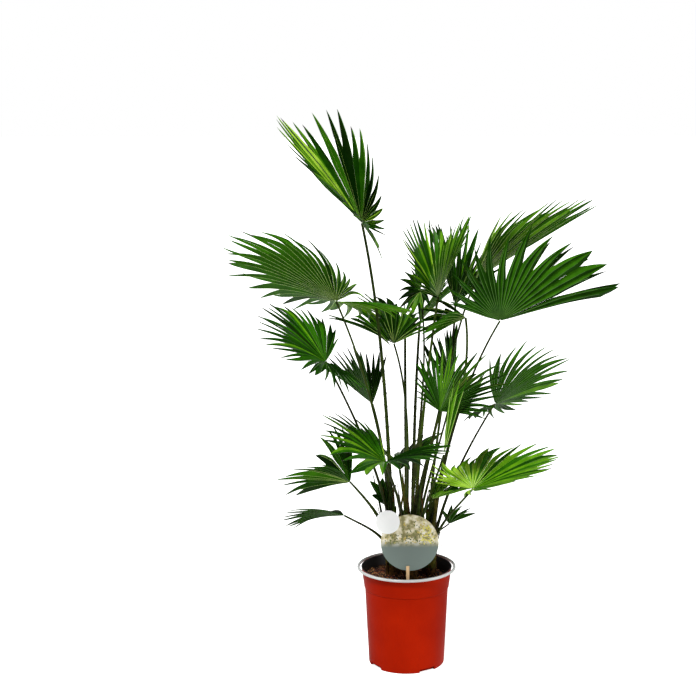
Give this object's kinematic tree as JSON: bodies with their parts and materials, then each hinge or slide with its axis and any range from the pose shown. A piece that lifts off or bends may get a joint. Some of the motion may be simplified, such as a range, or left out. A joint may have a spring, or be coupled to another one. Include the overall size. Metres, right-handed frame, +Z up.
{
  "type": "potted fan palm",
  "caption": "Fan palm with pleated, finger-tipped blades on slender petioles that rise from one clump, in a tapered terracotta-red nursery pot of soil with a round label on a stick.",
  "frame": {"origin": "middle of the pot's flat underside, on the ground", "axes": "+Z up the plant, -Y the front where the label stands, +X to the right seen from the front"},
  "size_m": [0.8499, 0.7951, 1.1801],
  "materials": {
    "pot_plastic": "satin moulded terracotta-red polypropylene, silver-grey rolled rim, dark inside",
    "peat": "rough fibrous peat and coir",
    "label_card": "smooth printed card",
    "label_stick": "raw birch stick",
    "stem_sheath": "fibrous brown and green leaf sheaths",
    "petiole": "smooth green stalk with small spines",
    "leaf": "glossy pleated leaf"
  },
  "bodies": {
    "root": {"blade_back_high": "leaf", "blade_back_left": "leaf", "blade_back_low": "leaf", "blade_back_right": "leaf", "blade_behind_middle": "leaf", "blade_broad_right": "leaf", "blade_curled_middle": "leaf", "blade_dark_left": "leaf", "blade_far_right": "leaf", "blade_front": "leaf", "blade_high_right": "leaf", "blade_inner_left": "leaf", "blade_low_left": "leaf", "blade_low_right": "leaf", "blade_lowest_left": "leaf", "blade_mid_left": "leaf", "blade_mid_right": "leaf", "blade_seedling_left": "leaf", "blade_seedling_right": "leaf", "blade_small_low": "leaf", "blade_small_middle": "leaf", "blade_spear": "leaf", "blade_top": "leaf", "blade_upper_middle": "leaf", "blade_upright_middle": "leaf", "blade_wide_left": "leaf", "label_card": "label_card", "label_stick": "label_stick", "petiole_back_high": "petiole", "petiole_back_left": "petiole", "petiole_back_low": "petiole", "petiole_back_right": "petiole", "petiole_behind_middle": "petiole", "petiole_broad_right": "petiole", "petiole_curled_middle": "petiole", "petiole_dark_left": "petiole", "petiole_far_right": "petiole", "petiole_front": "petiole", "petiole_high_right": "petiole", "petiole_inner_left": "petiole", "petiole_low_left": "petiole", "petiole_low_right": "petiole", "petiole_lowest_left": "petiole", "petiole_mid_left": "petiole", "petiole_mid_right": "petiole", "petiole_seedling_left": "petiole", "petiole_seedling_right": "petiole", "petiole_small_low": "petiole", "petiole_small_middle": "petiole", "petiole_spear": "petiole", "petiole_top": "petiole", "petiole_upper_middle": "petiole", "petiole_upright_middle": "petiole", "petiole_wide_left": "petiole", "pot": "pot_plastic", "soil": "peat", "stem_back": "stem_sheath", "stem_front": "stem_sheath", "stem_left": "stem_sheath", "stem_right": "stem_sheath"}
  },
  "joints": []
}
